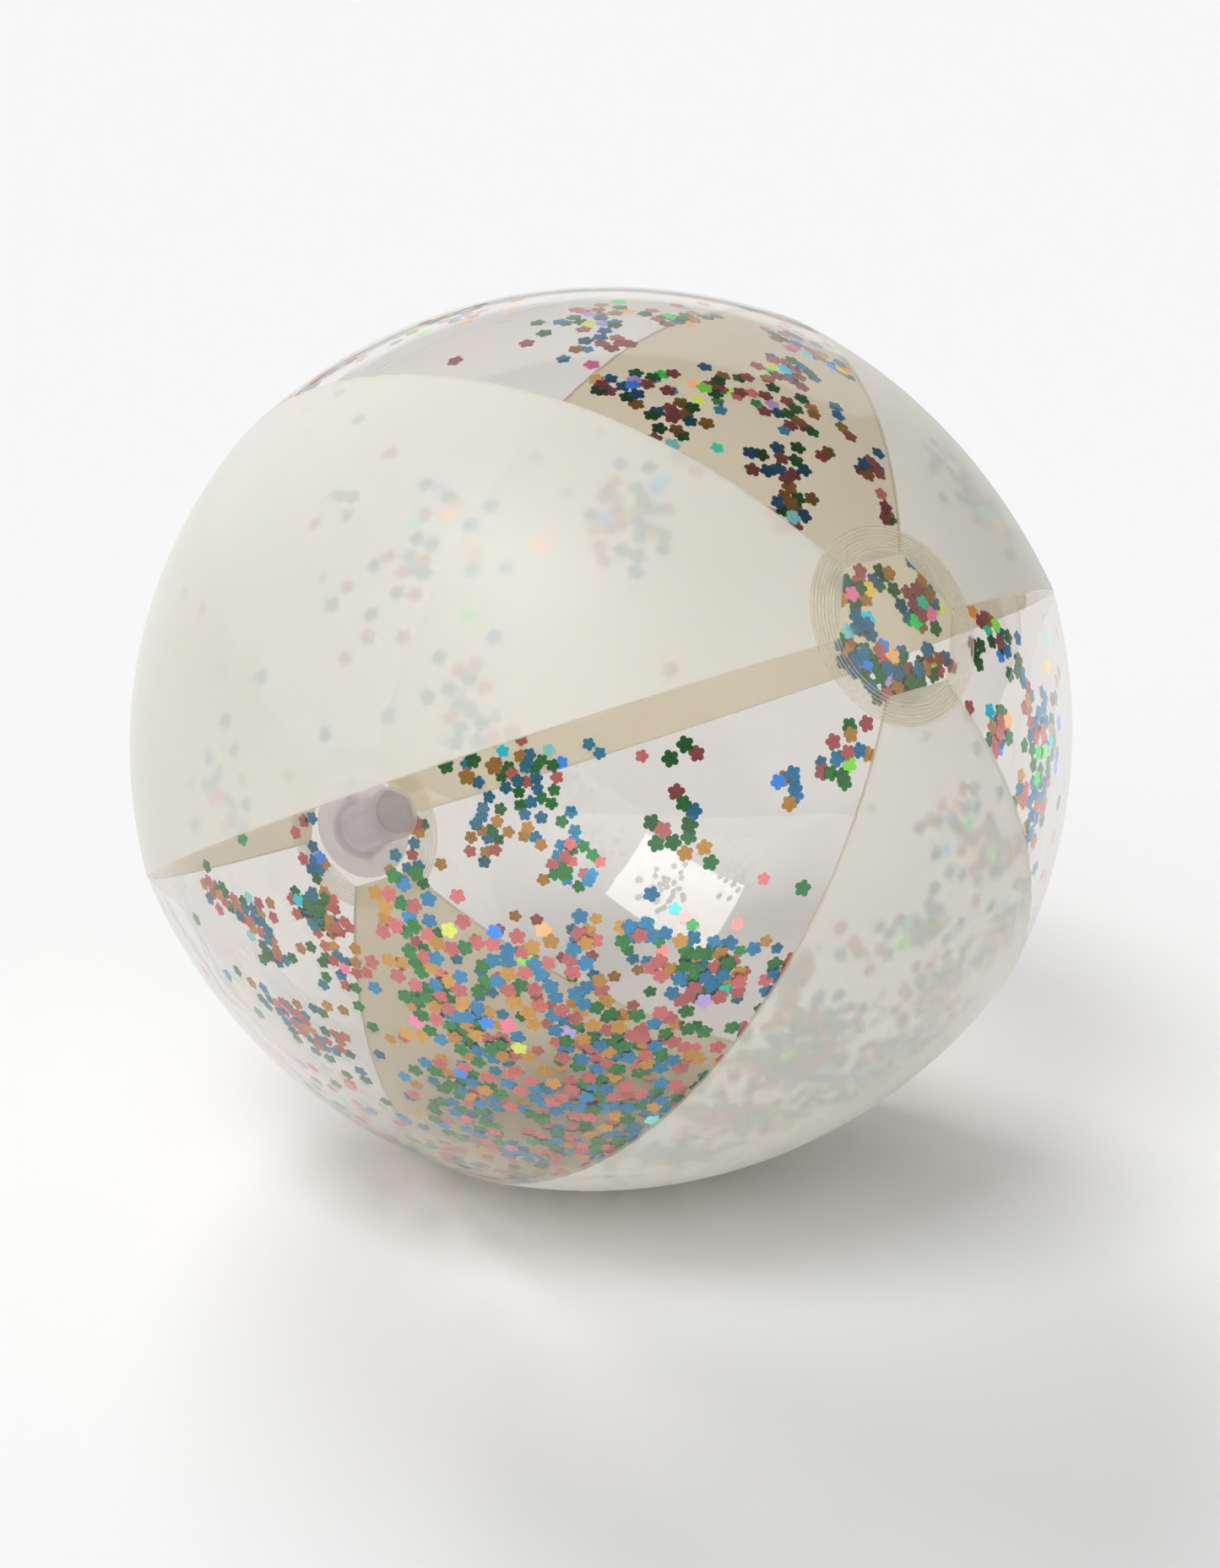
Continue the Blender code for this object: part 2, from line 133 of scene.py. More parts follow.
def skin(polar, azimuth, inset, off_middle=None):
    """Points of the skin in world space, as an array with xyz last. The floor flattens it."""
    polar, azimuth, inset = np.broadcast_arrays(polar, azimuth, inset)
    if off_middle is None:
        off_middle = off_middle_of(azimuth)
    across = off_middle / (GORE_ANGLE / 2)
    girth = RADIUS * np.sin(polar)
    rise = SEAM_RISE * smooth_step((girth - RISE_START) / (RISE_FULL - RISE_START)) * (2 * across**2 - 1)
    rise = rise + ripple(polar, azimuth, off_middle)
    around = np.cos(azimuth)[..., None] * TOP + np.sin(azimuth)[..., None] * SIDE
    direction = np.cos(polar)[..., None] * AXIS + np.sin(polar)[..., None] * around
    point = direction * (RADIUS + rise)[..., None]
    point[..., 2] *= SQUASH
    normal = direction / (1, 1, SQUASH)
    normal /= np.linalg.norm(normal, axis=-1, keepdims=True)
    point = point - normal * inset[..., None]
    point[..., 2] = np.maximum(point[..., 2], inset - CENTRE.z)
    return point + np.array(CENTRE)


def skin_normal(point):
    normal = (point - np.array(CENTRE)) / (1, 1, SQUASH**2)
    return normal / np.linalg.norm(normal, axis=-1, keepdims=True)


# ---------------------------------------------------------------- meshes


SHARP_ANGLE = math.radians(40)


def new_piece(name, points, faces, material, body, smooth=True):
    mesh = bpy.data.meshes.new(name)
    mesh.from_pydata([tuple(p) for p in points], [], faces)
    mesh.materials.append(material)
    if smooth:
        mesh.shade_smooth()
        mesh.set_sharp_from_angle(angle=SHARP_ANGLE)
    piece = bpy.data.objects.new(name, mesh)
    bpy.context.scene.collection.objects.link(piece)
    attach(piece, body)
    return piece


FILM_COLUMNS = 44
FILM_ROWS = 120
TIP_ROWS = 5
FILM_GAP = 0.00008  # between two gores at a seam


def gore_film(node, index, material):
    """A gore as a closed film, with a weld fin along each side and straight-cut tips under the pole discs."""
    middle = index * GORE_ANGLE
    half = GORE_ANGLE / 2
    disc_edge = math.asin(DISC_RADIUS / RADIUS)

    def polar_at(row, off_middle):
        """Rows below 0 lie between the straight tip and the disc's edge, and those past 1 at the far pole."""
        tip = np.arcsin(TIP_RADIUS / RADIUS / np.cos(off_middle))
        if row < 0:
            return disc_edge + (disc_edge - tip) * row
        if row > 1:
            return math.pi - disc_edge + (disc_edge - tip) * (row - 1)
        return disc_edge + (math.pi - 2 * disc_edge) * row + 0 * off_middle

    tip_rows = np.linspace(1, 1 / TIP_ROWS, TIP_ROWS)
    rows = np.concatenate([-tip_rows, np.linspace(0, 1, FILM_ROWS + 1), 1 + tip_rows[::-1]])
    points = []
    for row in rows:
        girth = RADIUS * math.sin(polar_at(row, half))
        edge = half - FILM_GAP / 2 / girth
        fin = edge - FIN_WIDTH / girth
        between = np.linspace(-fin, fin, FILM_COLUMNS + 1)
        section = [
            (np.concatenate([[-edge], between, [edge]]), 0.0),
            (np.array([edge, fin]), FIN_DEPTH),
            (between[::-1], SKIN),
            (np.array([-fin, -edge]), FIN_DEPTH),
        ]
        for offs, inset in section:
            points.append(skin(polar_at(row, offs), middle + offs, inset, offs))
    points = np.concatenate(points)
    around = len(points) // len(rows)
    outer = FILM_COLUMNS + 3
    faces, inner, weld = [], [], []
    for row in range(len(rows) - 1):
        for i in range(around):
            here, there = row * around + i, row * around + (i + 1) % around
            faces.append((here, there, there + around, here + around))
            inner.append(float(outer + 1 < i + 1 < around - 1))
            weld.append(float(i in (0, outer - 2) or outer - 1 <= i < outer + 2 or i >= around - 3))
    for first, turn in ((0, -1), (around * (len(rows) - 1), 1)):
        facing = [first + outer + 2 + i for i in range(FILM_COLUMNS + 1)][::-1]
        end = first + around
        caps = [(first, first + 1, facing[0], end - 2, end - 1)]
        caps.append((first + outer - 2, first + outer - 1, first + outer, first + outer + 1, facing[-1]))
        caps += [(first + 1 + i, first + 2 + i, facing[i + 1], facing[i]) for i in range(FILM_COLUMNS)]
        faces += [face[::turn] for face in caps]
        inner += [0.0] * len(caps)
        weld += [0.0] * len(caps)
    piece = new_piece(node + "_film", points, faces, material, "ball")
    for name, values in (("inner", inner), ("weld", weld)):
        piece.data.attributes.new(name, "FLOAT", "FACE").data.foreach_set("value", values)
    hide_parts(node)


def pole_frame(side):
    """World matrix of a pole: Z out of the skin, X up it. side is 1 for the plain pole and -1 for the
    valve's."""
    origin = Vector(AXIS) * side * RADIUS
    origin.z *= SQUASH
    out = Vector((origin.x, 0.0, origin.z / SQUASH**2)).normalized()
    up = Vector((0.0, 0.0, 1.0))
    up = (up - out * up.dot(out)).normalized()
    turn = Matrix((up, out.cross(up), out)).transposed().to_4x4()
    return Matrix.Translation(CENTRE + origin) @ turn


def skin_height(side, radius):
    """Height of the plain squashed ball over a pole's tangent plane. radius has a row for each ring."""
    place = pole_frame(side)
    scale = np.array((1.0, 1.0, 1 / SQUASH)) / RADIUS
    origin = (np.array(place.translation) - np.array(CENTRE)) * scale
    axes = np.array(place.to_3x3())
    angle = np.linspace(0, 2 * math.pi, radius.shape[1], endpoint=False)
    flat = radius[..., None] * (
        np.cos(angle)[:, None] * axes[:, 0] + np.sin(angle)[:, None] * axes[:, 1]
    )
    begin = origin + flat * scale
    out = axes[:, 2] * scale
    a = out @ out
    b = begin @ out
    c = (begin * begin).sum(-1) - 1
    return (np.sqrt(b * b - a * c) - b) / a


WELD_RINGS = 7
RING_PITCH = 0.00150
RING_FIRST = 0.03010
RING_WIDTH = 0.00036
RING_HEIGHT = 0.00032
DISC_SIDES = 144
PLAIN_LOOPS = 14
LOOPS_PER_RING = 9
RIM_STEP = 0.0002  # the rings' loops stop this far from the rim
NO_HOLE = 0.00005  # the radius of a hole that is closed


def ring_sheet(name, side, radii, relief, low, high, sides, material):
    """A round sheet that follows the skin at a pole, with a hole unless its first radius is NO_HOLE. relief
    raises both faces at each radius, and the raised faces carry the weld's colour."""
    angle = np.linspace(0, 2 * math.pi, sides, endpoint=False)
    radius = np.repeat(np.array(radii)[:, None], sides, axis=1)
    skin_z = skin_height(side, radius)
    layers = []
    for lift, order in ((high, 1), (low, -1)):
        height = skin_z + lift + np.array(relief)[:, None]
        layer = np.stack([radius * np.cos(angle), radius * np.sin(angle), height], axis=-1)
        layers.append(layer[::order])
    loops = np.concatenate(layers)
    count = len(loops)
    points = loops.reshape(-1, 3)
    place = np.array(pole_frame(side))
    points = points @ place[:3, :3].T + place[:3, 3]
    faces = []
    closed = radii[0] <= NO_HOLE
    for ring in range(count if not closed else count - 1):
        following = (ring + 1) % count
        for i in range(sides):
            after = (i + 1) % sides
            near, far = ring * sides, following * sides
            faces.append((near + i, far + i, far + after, near + after))
    if closed:
        faces.append(tuple(range(sides)))
        faces.append(tuple(range(count * sides - 1, (count - 1) * sides - 1, -1)))
    piece = new_piece(name, points, faces, material, "ball")
    height = np.concatenate([relief, relief[::-1]]) / RING_HEIGHT
    weld = np.zeros(len(faces))
    shown = (count if not closed else count - 1) * sides
    weld[:shown] = np.repeat(np.clip(0.5 * (height + np.roll(height, -1)), 0, 1), sides)[:shown]
    piece.data.attributes.new("weld", "FLOAT", "FACE").data.foreach_set("value", weld)
    return piece


def weld_relief(radius):
    """Height of the embossed weld rings at a distance from the pole."""
    relief = 0.0
    for ring in range(WELD_RINGS):
        off = (radius - RING_FIRST - ring * RING_PITCH) / RING_WIDTH
        relief += RING_HEIGHT * math.exp(-off * off)
    return relief


def pole_disc(node, side, hole, material):
    """A pole disc that lies on the gores' tips, plain in the middle and ringed towards its rim."""
    plain = list(np.linspace(hole, RING_FIRST - 2 * RING_WIDTH, PLAIN_LOOPS))
    ring_start = RING_FIRST - 1.6 * RING_WIDTH
    ringed = list(np.arange(ring_start, DISC_RADIUS - RIM_STEP, RING_PITCH / LOOPS_PER_RING))
    radii = plain + ringed + [DISC_RADIUS]
    relief = [weld_relief(radius) for radius in radii]
    name = node + "_film"
    piece = ring_sheet(name, side, radii, relief, GAP, GAP + SKIN, DISC_SIDES, material)
    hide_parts(node)


# ---------------------------------------------------------------- materials


WHITE = (1.0, 1.0, 1.0, 1.0)


class Shader:
    """A short way to build a node tree."""

    def __init__(self, name):
        self.material = bpy.data.materials.new(name)
        self.material.use_nodes = True
        self.tree = self.material.node_tree
        self.tree.nodes.clear()
        self.output = self.add("ShaderNodeOutputMaterial")

    def add(self, kind, values=(), **settings):
        node = self.tree.nodes.new(kind)
        for key, value in settings.items():
            setattr(node, key, value)
        for socket, value in dict(values).items():
            if isinstance(value, bpy.types.NodeSocket):
                self.tree.links.new(value, node.inputs[socket])
            else:
                node.inputs[socket].default_value = value
        return node

    def mix(self, share, first, second):
        return self.add("ShaderNodeMixShader", {0: share, 1: first, 2: second}).outputs[0]

    def attribute(self, name):
        return self.add("ShaderNodeAttribute", attribute_name=name).outputs["Fac"]

    def noise(self, scale, detail=2.0, roughness=0.5):
        place = self.add("ShaderNodeTexCoord").outputs["Object"]
        values = {"Vector": place, "Scale": scale, "Detail": detail, "Roughness": roughness}
        return self.add("ShaderNodeTexNoise", values).outputs[0]

    def ramp(self, value, stops):
        node = self.add("ShaderNodeValToRGB", {0: value})
        ramp = node.color_ramp
        while len(ramp.elements) > len(stops):
            ramp.elements.remove(ramp.elements[-1])
        while len(ramp.elements) < len(stops):
            ramp.elements.new(1.0)
        for element, (place, colour) in zip(ramp.elements, stops):
            element.position = place
            element.color = (*colour, 1.0)
        return node.outputs[0]

    def bump(self, height, distance, strength=1.0):
        values = {"Height": height, "Distance": distance, "Strength": strength}
        return self.add("ShaderNodeBump", values).outputs[0]

    def coated(self, body, share, roughness, bump):
        """The body under a gloss where light enters a wall, and nothing where it leaves."""
        values = {0: WHITE, "Roughness": roughness, "Normal": bump}
        shine = self.add("ShaderNodeBsdfGlossy", values).outputs[0]
        leaving = self.add("ShaderNodeBsdfTransparent", {0: WHITE}).outputs[0]
        is_leaving = self.add("ShaderNodeNewGeometry").outputs["Backfacing"]
        return self.mix(is_leaving, self.mix(share, body, shine), leaving)

    def done(self, surface):
        self.tree.links.new(surface, self.output.inputs["Surface"])
        return self.material


FILM_IOR = 1.46
PLASTIC_IOR = 1.5
GLOSS_LIMIT = 0.45  # soft film never mirrors fully, even edge on
# Emission strength of the painted glints, which make a few flowers glow as painted highlights
PAINTED_GLINT_GLOW = 0.4
FOIL_ROUGHNESS = (0.22, 0.36)


def film(name, tint, outside, inside, weld, share, glow, inner_glow, weld_share, roughness, gloss):
    """Thin PVC film. Where light enters a wall, the face carries the colour and the gloss, and where it
    leaves the face is clear. outside, inside and weld are the film's own colours. share is how much of the
    light they take, and glow how much of that passes through."""
    s = Shader(name)
    cloud = s.noise(9.0, 3.0)
    bump = s.bump(s.noise(35.0, 3.0), 0.00012, 0.35)
    is_inner = s.attribute("inner")
    is_weld = s.attribute("weld")
    own = s.ramp(cloud, [(0.3, [channel * 0.97 for channel in outside]), (0.7, outside)])
    own = s.add("ShaderNodeMixRGB", {0: is_inner, 1: own, 2: (*inside, 1)}).outputs[0]
    own = s.add("ShaderNodeMixRGB", {0: is_weld, 1: own, 2: (*weld, 1)}).outputs[0]
    through = s.add("ShaderNodeBsdfTransparent", {0: (*tint, 1.0)}).outputs[0]
    lit = s.add("ShaderNodeBsdfDiffuse", {0: own}).outputs[0]
    passed = s.add("ShaderNodeBsdfTranslucent", {0: own}).outputs[0]
    passes = s.add("ShaderNodeMapRange", {0: is_inner, 3: glow, 4: inner_glow}).outputs[0]
    solid = s.mix(passes, lit, passed)
    own_share = s.add("ShaderNodeMapRange", {0: is_weld, 3: share, 4: weld_share}).outputs[0]
    body = s.mix(own_share, through, solid)
    fresnel = s.add("ShaderNodeFresnel", {"IOR": FILM_IOR, "Normal": bump}).outputs[0]
    shine_share = s.add("ShaderNodeMath", {0: fresnel, 1: gloss}, operation="MULTIPLY").outputs[0]
    shine_share = s.add("ShaderNodeMath", {0: shine_share, 1: GLOSS_LIMIT}, operation="MINIMUM").outputs[0]
    rough = s.add("ShaderNodeMapRange", {0: cloud, 3: roughness * 0.8, 4: roughness * 1.2}).outputs[0]
    return s.done(s.coated(body, shine_share, rough, bump))


def foil():
    """Printed metallic foil, whose colour comes from each flower's own colour attribute. The few flowers
    with a painted glint have no alpha and glow with their bright glint colour, a painted highlight."""
    s = Shader("foil")
    print_and_painted_glint = s.add("ShaderNodeAttribute", attribute_name="foil")
    grain = s.noise(1800.0, 2.0)
    rough = s.add("ShaderNodeMapRange", {0: grain, 3: FOIL_ROUGHNESS[0], 4: FOIL_ROUGHNESS[1]}).outputs[0]
    bump = s.bump(grain, 0.00003, 0.4)
    # Painted highlight: flowers whose alpha is 0 carry a glint colour and glow with it
    painted_glint_strength = s.add("ShaderNodeMapRange", {0: print_and_painted_glint.outputs["Alpha"], 3: PAINTED_GLINT_GLOW, 4: 0.0}).outputs[0]
    colour = print_and_painted_glint.outputs["Color"]
    values = {"Base Color": colour, "Metallic": 0.93, "Roughness": rough, "Normal": bump}
    values.update({"Emission Color": colour, "Emission Strength": painted_glint_strength})
    return s.done(s.add("ShaderNodeBsdfPrincipled", values).outputs[0])


def valve_plastic(name, colour, share, roughness, stipple=0.0):
    """Soft translucent PVC moulding. share is how much of the light its own colour takes, and stipple the
    depth of its grain."""
    s = Shader(name)
    cloud = s.noise(120.0, 3.0)
    fine = s.noise(1400.0, 3.0)
    bump = s.bump(fine, 0.00006 + stipple, 0.6)
    shade = s.ramp(cloud, [(0.3, [channel * 0.9 for channel in colour]), (0.7, colour)])
    lit = s.add("ShaderNodeBsdfDiffuse", {0: shade, "Normal": bump}).outputs[0]
    glow = s.add("ShaderNodeBsdfTranslucent", {0: shade}).outputs[0]
    solid = s.mix(0.45, lit, glow)
    through = s.add("ShaderNodeBsdfTransparent", {0: (0.90, 0.87, 0.90, 1)}).outputs[0]
    body = s.mix(share, through, solid)
    fresnel = s.add("ShaderNodeFresnel", {"IOR": PLASTIC_IOR, "Normal": bump}).outputs[0]
    return s.done(s.coated(body, fresnel, roughness, bump))


# ---------------------------------------------------------------- confetti

FLOWER_RADIUS = 0.0034
FLOWER_THICKNESS = 0.00010
LAYER = 0.00022
WALL_CLEARANCE = 0.0009
FLANGE_REACH = 0.030
FLANGE_CLEARANCE = 0.0019
SPACING = 0.0046
PETALS = 5
PETAL_STEPS = 6
TILT = 0.02  # how far a flower leans from the wall
TOP_LAYER = 14  # flowers over this one share it and the half layer above
FLOOR_PATCH = 0.0035  # flowers lower than this lie flat
KINDS = {
    "pink": (0.92, 0.27, 0.27),
    "blue": (0.06, 0.38, 0.72),
    "green": (0.06, 0.36, 0.10),
    "amber": (0.90, 0.48, 0.11),
}
KIND_SHARES = (0.27, 0.29, 0.27, 0.17)  # of pink, blue, green and amber
# Bright colours of the painted glints: a few flowers that glow as if they caught the light
PAINTED_GLINT_COLOURS = {
    "pink": ((0.95, 0.25, 0.45), (0.98, 0.35, 0.08), (0.55, 0.42, 0.85)),
    "blue": ((0.02, 0.70, 0.95), (0.05, 0.30, 0.98), (0.30, 0.75, 0.75)),
    "green": ((0.02, 0.80, 0.12), (0.30, 0.90, 0.10), (0.05, 0.65, 0.45)),
    "amber": ((1.00, 0.72, 0.10), (0.75, 0.85, 0.15), (1.00, 0.55, 0.25)),
}
PAINTED_GLINT_SHARE = 0.06  # share of flowers with a painted glint at the middle of the ball; more above it

# Where the loose flowers cling: polar angle and azimuth (degrees), spread both ways (mm) and how many
CLUSTERS = (
    # in the plain pole's window
    (6.1, 325, 7, 8, 17), (6.2, 14, 3, 3, 3), (4.9, 71, 9, 9, 25), (4.1, 280, 4, 4, 5),
    (5.7, 204, 8, 16, 44), (7.3, 258, 4, 6, 9), (6.5, 140, 5, 5, 9),
    # on the top gore
    (44.8, 337, 5, 6, 4), (41.2, 342, 6, 14, 10), (35.0, 338, 9, 16, 15), (36.2, 355, 7, 9, 10),
    (29.3, 4, 9, 11, 15), (23.3, 350, 9, 9, 12), (17.9, 339, 7, 9, 13), (28.6, 18, 8, 3, 4),
    (21.9, 6, 3, 4, 2), (20.9, 21, 6, 7, 9), (14.2, 24, 5, 3, 4), (45.6, 22, 12, 12, 18),
    (37.0, 14, 10, 12, 20), (40.3, 28, 7, 7, 10), (56.4, 355, 14, 22, 24), (50.0, 350, 8, 7, 8),
    (50.5, 5, 6, 12, 11), (47.5, 341, 2, 2, 1), (76.0, 348, 20, 30, 26), (95.0, 340, 26, 30, 22),
    # on the lower right gore
    (15.0, 97, 5, 5, 6), (17.9, 108, 5, 5, 7), (12.7, 118, 3, 4, 4), (22.3, 115, 8, 9, 10),
    (14.1, 145, 3, 3, 2), (20.2, 141, 7, 9, 17), (27.7, 127, 10, 16, 20), (33.2, 125, 10, 22, 24),
    (28.7, 145, 8, 12, 6), (35.2, 142, 9, 20, 22),
    # on the lower left gore, near side
    (17.2, 221, 10, 6, 13), (23.5, 230, 5, 3, 3), (29.7, 257, 4, 4, 3), (33.6, 247, 9, 6, 6),
    (23.0, 234, 6, 6, 3), (37.0, 240, 8, 11, 6), (47.4, 234, 6, 6, 8), (53.0, 238, 7, 7, 9),
    (47.2, 221, 12, 17, 46), (67.0, 252, 18, 22, 28), (71.5, 245, 16, 22, 26), (60.0, 240, 15, 22, 34),
    (71.0, 237, 16, 26, 38), (61.0, 226, 15, 20, 36), (57.5, 219, 16, 18, 28), (78.5, 230, 18, 24, 36),
    (69.0, 220, 18, 26, 48), (86.0, 222, 14, 26, 28), (79.0, 213, 16, 22, 24), (97.0, 221, 10, 20, 16),
    # on the far walls round the valve
    (154.5, 91, 21, 22, 38), (149.9, 116, 12, 12, 22), (161.5, 110, 8, 14, 14), (170.0, 288, 5, 8, 3),
    (170.0, 254, 7, 8, 8), (171.5, 150, 6, 7, 8), (171.5, 110, 5, 6, 5), (152.7, 252, 12, 16, 22),
    (164.0, 229, 9, 13, 34), (150.7, 242, 8, 10, 11), (148.0, 264, 8, 10, 10), (157.5, 222, 8, 16, 15),
    (140.6, 230, 11, 24, 34), (95.0, 45, 30, 30, 14),
    # on the bottom gore's near side
    (42.7, 208, 8, 8, 16), (49.2, 200, 12, 20, 52), (55.3, 198, 12, 24, 62), (65.0, 200, 12, 26, 62),
    (74.8, 203, 10, 22, 50), (37.0, 190, 12, 22, 16), (25.0, 172, 14, 16, 16), (30.5, 164, 13, 16, 22),
    (45.0, 157, 18, 14, 24), (36.5, 180, 8, 8, 10), (46.5, 174, 18, 26, 40), (60.5, 184, 16, 28, 34),
    (55.5, 175, 14, 24, 32),
    # on the upper cream gores
    (33.0, 311, 14, 22, 32), (52.0, 275, 14, 20, 20), (56.0, 300, 34, 46, 34), (85.0, 275, 24, 28, 18),
    (30.0, 62, 18, 26, 34), (55.0, 50, 24, 34, 30),
)
CLUSTER_CROWDING = 0.62  # the standard deviation, as a share of the spread
PILE = 420  # flowers that lie on the bottom
PILE_REACH = 44  # degrees up the wall from the bottom
PILE_CROWDING = 0.72  # 0.5 is even, and more crowds the bottom
SCATTER = 80  # flowers anywhere
TRIES = 10


def flower_outline():
    """The flower's edge: five round petals that meet in notches."""
    centre, petal, sweep = 0.60, 0.40, math.radians(98)
    outline = []
    for i in range(PETALS):
        angle = 2 * math.pi * i / PETALS
        for step in range(PETAL_STEPS):
            bend = angle + sweep * (2 * step / PETAL_STEPS - 1)
            outline.append((
                centre * math.cos(angle) + petal * math.cos(bend),
                centre * math.sin(angle) + petal * math.sin(bend),
            ))
    return np.array(outline) * FLOWER_RADIUS


def place_in(cluster):
    """A random place in a cluster, as its polar angle and azimuth."""
    polar, azimuth, across, around = cluster
    reach, turn = abs(random.normal()) * CLUSTER_CROWDING, random.uniform(0, 2 * math.pi)
    out = RADIUS * math.radians(polar) + 0.001 * across * reach * math.cos(turn)
    side = 0.001 * around * reach * math.sin(turn)
    if polar < 30:
        return math.hypot(out, side) / RADIUS, math.radians(azimuth) + math.atan2(side, out)
    return out / RADIUS, math.radians(azimuth) + side / RADIUS / math.sin(out / RADIUS)


def place_in_pile():
    tip = math.radians(PILE_REACH) * random.random() ** PILE_CROWDING
    turn = random.uniform(0, 2 * math.pi)
    across = np.array((math.cos(turn), math.sin(turn), 0.0))
    return angles_of(across * math.sin(tip) - np.array((0.0, 0.0, math.cos(tip))))


def place_anywhere():
    direction = random.normal(size=3)
    return angles_of(direction / np.linalg.norm(direction))


def under_skin(polar, azimuth):
    """Where a flower lies against the inside of the skin, clear of the fins and the valve's flange."""
    inset = WALL_CLEARANCE
    girth = RADIUS * math.sin(polar)
    to_seam = (GORE_ANGLE / 2 - abs(off_middle_of(azimuth))) * girth
    if to_seam < 1.3 * FLOWER_RADIUS and girth > TIP_RADIUS - FLOWER_RADIUS:
        inset = FIN_DEPTH + GAP
    if polar > math.pi / 2 and girth < FLANGE_REACH:
        inset = FLANGE_CLEARANCE
    return skin(np.array(polar), np.array(azimuth), np.array(inset))


def loose_flowers(taken):
    """Places of the flowers that join the CAD's. Each keeps a spacing from the others while it can."""
    taken = list(taken)
    keep_out = math.pi - math.asin((STEM_HOLE + 2 * FLOWER_RADIUS) / RADIUS)
    draws = [(place_in, (cluster[:-1],)) for cluster in CLUSTERS for _ in range(cluster[-1])]
    draws += [(place_in_pile, ())] * PILE + [(place_anywhere, ())] * SCATTER
    for draw, given in draws:
        best, room = None, -1.0
        for _ in range(TRIES):
            polar, azimuth = draw(*given)
            if polar > keep_out:
                continue
            point = under_skin(abs(polar), azimuth)
            near = np.sqrt(((np.array(taken) - point) ** 2).sum(1).min())
            if near > room:
                best, room = point, near
            if room > SPACING:
                break
        if best is not None:
            taken.append(best)
    return taken


def angles_of(direction):
    polar = math.acos(float(np.clip(direction @ AXIS, -1, 1)))
    return polar, math.atan2(float(direction @ SIDE), float(direction @ TOP))


def confetti(cad_flowers, material):
    """All flowers, joined by colour. Flowers that lie over others rest in a higher layer."""
    kinds = list(KINDS)
    taken = [np.array([v.co for v in frame["nodes"][node].data.vertices]).mean(0) for node in cad_flowers]
    flowers = [(node.split("_")[1], point) for node, point in zip(cad_flowers, taken)]
    for point in loose_flowers(taken)[len(taken):]:
        flowers.append((kinds[int(random.choice(len(kinds), p=KIND_SHARES))], point))
    places = np.array([point for _, point in flowers])
    layers = np.zeros(len(flowers))
    for i in range(1, len(flowers)):
        near = np.linalg.norm(places[:i] - places[i], axis=1) < 2.05 * FLOWER_RADIUS
        if near.any():
            layers[i] = layers[:i][near].max() + 1
    layers = np.minimum(layers, TOP_LAYER + layers % 2 * 0.5)
    outline = flower_outline()
    sides = len(outline)
    shapes = {kind: ([], [], []) for kind in kinds}
    for (kind, point), layer in zip(flowers, layers):
        points, faces, colours = shapes[kind]
        normal = skin_normal(point)
        if point[2] < FLOOR_PATCH:
            normal = np.array((0.0, 0.0, -1.0))
        normal = normal + random.normal(size=3) * TILT
        normal /= np.linalg.norm(normal)
        first = np.cross(normal, (0.3, 0.8, 0.52))
        first /= np.linalg.norm(first)
        second = np.cross(normal, first)
        spin = random.uniform(0, 2 * math.pi)
        size = random.uniform(0.96, 1.04)
        x = (outline[:, 0] * math.cos(spin) - outline[:, 1] * math.sin(spin)) * size
        y = (outline[:, 0] * math.sin(spin) + outline[:, 1] * math.cos(spin)) * size
        middle = point - normal * layer * LAYER
        near = middle + x[:, None] * first + y[:, None] * second
        far = near - normal * FLOWER_THICKNESS
        start = len(points)
        points.extend(near)
        points.extend(far)
        faces.append(tuple(range(start, start + sides)))
        faces.append(tuple(range(start + 2 * sides - 1, start + sides - 1, -1)))
        for i in range(sides):
            after = (i + 1) % sides
            faces.append((start + i, start + i + sides, start + after + sides, start + after))
        colour, plain = np.array(KINDS[kind]) * random.uniform(0.80, 1.12), 1.0
        # A painted glint: some flowers, more of them higher up, take a bright glint colour and alpha 0, so
        # they glow
        if random.random() < PAINTED_GLINT_SHARE * point[2] / CENTRE.z:
            colour, plain = np.array(PAINTED_GLINT_COLOURS[kind][int(random.integers(3))]), 0.0
        colours.extend([(*np.clip(colour, 0, 1), plain)] * (2 * sides))
    for kind, (points, faces, colours) in shapes.items():
        piece = new_piece("confetti_" + kind, points, faces, material, "ball", smooth=False)
        layer = piece.data.color_attributes.new("foil", "FLOAT_COLOR", "POINT")
        layer.data.foreach_set("color", np.array(colours, np.float32).ravel())
        nodes = [node for node in cad_flowers if node.split("_")[1] == kind]
        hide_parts(*nodes)


# ---------------------------------------------------------------- stage


FLOOR_REACH = 30.0
FLOOR_COLOUR = (0.90, 0.90, 0.90, 1.0)
ZENITH = (0.05, 0.05, 0.05, 1.0)
HORIZON = (0.14, 0.14, 0.14, 1.0)
BACKDROP = (0.93, 0.93, 0.93, 1.0)  # what the eye sees past the floor's edge


def stage():
    """A plain pale floor."""
    floor_mesh = bpy.data.meshes.new("floor")
    corners = [(x * FLOOR_REACH, y * FLOOR_REACH, 0) for x, y in ((-1, -1), (1, -1), (1, 1), (-1, 1))]
    floor_mesh.from_pydata(corners, [], [(0, 1, 2, 3)])
    floor = bpy.data.objects.new("floor", floor_mesh)
    bpy.context.scene.collection.objects.link(floor)
    s = Shader("floor")
    floor_mesh.materials.append(s.done(s.add("ShaderNodeBsdfDiffuse", {0: FLOOR_COLOUR}).outputs[0]))


